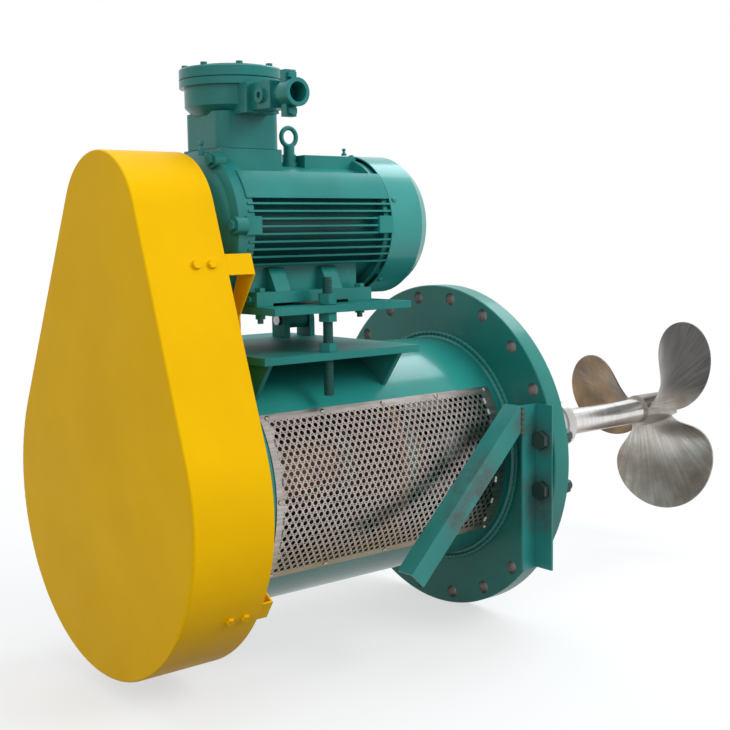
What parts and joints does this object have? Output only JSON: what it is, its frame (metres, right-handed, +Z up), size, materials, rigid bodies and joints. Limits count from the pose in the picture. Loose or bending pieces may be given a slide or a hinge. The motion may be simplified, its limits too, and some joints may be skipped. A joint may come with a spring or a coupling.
{
  "type": "side entry tank mixer",
  "caption": "Belt driven side entry tank mixer: foot motor over a tubular bearing stool with mesh guards, drop shaped belt guard, large wall flange, shaft and marine propeller.",
  "frame": {"origin": "centre of the mounting flange's tank side face, on the mixer shaft's axis", "axes": "+X along the shaft into the tank, +Z up, -Y the side of the belt tension stud"},
  "size_m": [1.837, 0.78, 1.254],
  "materials": {
    "teal_paint": "semi-gloss teal green enamel",
    "yellow_paint": "semi-gloss golden yellow enamel",
    "stainless_mesh": "bright perforated stainless sheet",
    "stainless_satin": "satin machined stainless steel",
    "propeller_steel": "polished, heat tinted stainless steel",
    "shaft_steel": "ground bright steel",
    "bearing_steel": "ground bearing steel",
    "zinc_hardware": "zinc plated",
    "dark_hardware": "dark painted hexagon hardware",
    "primer": "red oxide primer with thin green overspray",
    "cast_iron": "machined grey iron",
    "core_steel": "stacked core laminations",
    "belt_rubber": "fabric faced rubber",
    "black_plastic": "moulded plastic"
  },
  "bodies": {
    "stool": {"base_gussets": "teal_paint", "base_plate": "teal_paint", "bearing_covers": "primer", "bearing_housing": "primer", "bearing_outer_rings": "bearing_steel", "bearing_support_ring": "primer", "belt_guard": "yellow_paint", "brace_bolts": "dark_hardware", "brace_post": "teal_paint", "brace_strut": "teal_paint", "cover_bolts": "zinc_hardware", "drive_end_plate": "teal_paint", "guard_back_plate": "yellow_paint", "guard_bolts": "yellow_paint", "guard_brackets_lower": "yellow_paint", "guard_brackets_upper": "yellow_paint", "hinge_lugs": "teal_paint", "hinge_pins": "zinc_hardware", "mesh_guard_far": "stainless_mesh", "mesh_guard_near": "stainless_mesh", "mounting_flange": "teal_paint", "seal_gland": "stainless_satin", "seal_housing": "stainless_satin", "stool_tube": "teal_paint", "stud_lock_nuts": "teal_paint", "tension_stud": "teal_paint", "v_belts": "belt_rubber"},
    "mixer_rotor": {"mixer_shaft": "shaft_steel", "shaft_collar": "stainless_satin", "propeller": "propeller_steel", "propeller_nut": "propeller_steel", "driven_pulley": "cast_iron", "taper_bush": "cast_iron", "shaft_locknut": "zinc_hardware", "bearing_inner_rings": "bearing_steel", "seal_ring": "stainless_satin"},
    "motor_platform": {"motor_plate": "teal_paint", "hinge_barrels": "teal_paint", "motor_frame": "teal_paint", "foot_bolts": "teal_paint", "drive_end_shield": "teal_paint", "fan_end_shield": "teal_paint", "shield_bolts": "teal_paint", "fan_cowl": "teal_paint", "stator_core": "core_steel", "motor_bearing_outer_rings": "bearing_steel", "terminal_box": "teal_paint", "terminal_lid": "teal_paint", "lid_bolts": "teal_paint", "cable_gland": "teal_paint", "gland_mouth": "teal_paint", "gland_bolts": "teal_paint", "eye_bolt": "teal_paint", "earth_bolt": "teal_paint"},
    "motor_rotor": {"motor_shaft": "shaft_steel", "rotor_core": "core_steel", "cooling_fan": "black_plastic", "motor_pulley": "cast_iron", "motor_bearing_inner_rings": "bearing_steel"},
    "tension_nuts": {"tension_nuts": "teal_paint"}
  },
  "joints": [
    {"name": "shaft_spin", "type": "hinge", "parent": "stool", "child": "mixer_rotor", "pos_m": [0, 0, 0], "axis": [1, 0, 0], "continuous": true},
    {"name": "motor_tilt", "type": "hinge", "parent": "stool", "child": "motor_platform", "pos_m": [-0.5165, 0.13, 0.321], "axis": [-1, 0, 0], "range_deg": [-1, 2], "deforming": ["v_belts"]},
    {"name": "rotor_spin", "type": "hinge", "parent": "motor_platform", "child": "motor_rotor", "pos_m": [0, -0.0415, 0.536], "axis": [1, 0, 0], "continuous": true},
    {"name": "nut_travel", "type": "slide", "parent": "stool", "child": "tension_nuts", "axis": [0, 0, 1], "range_m": [-0.00635, 0.0126]}
  ],
  "couplings": [
    {"joint": "rotor_spin", "follows": "shaft_spin", "ratio": 4},
    {"joint": "nut_travel", "follows": "motor_tilt", "m_per_rad": 0.358}
  ]
}
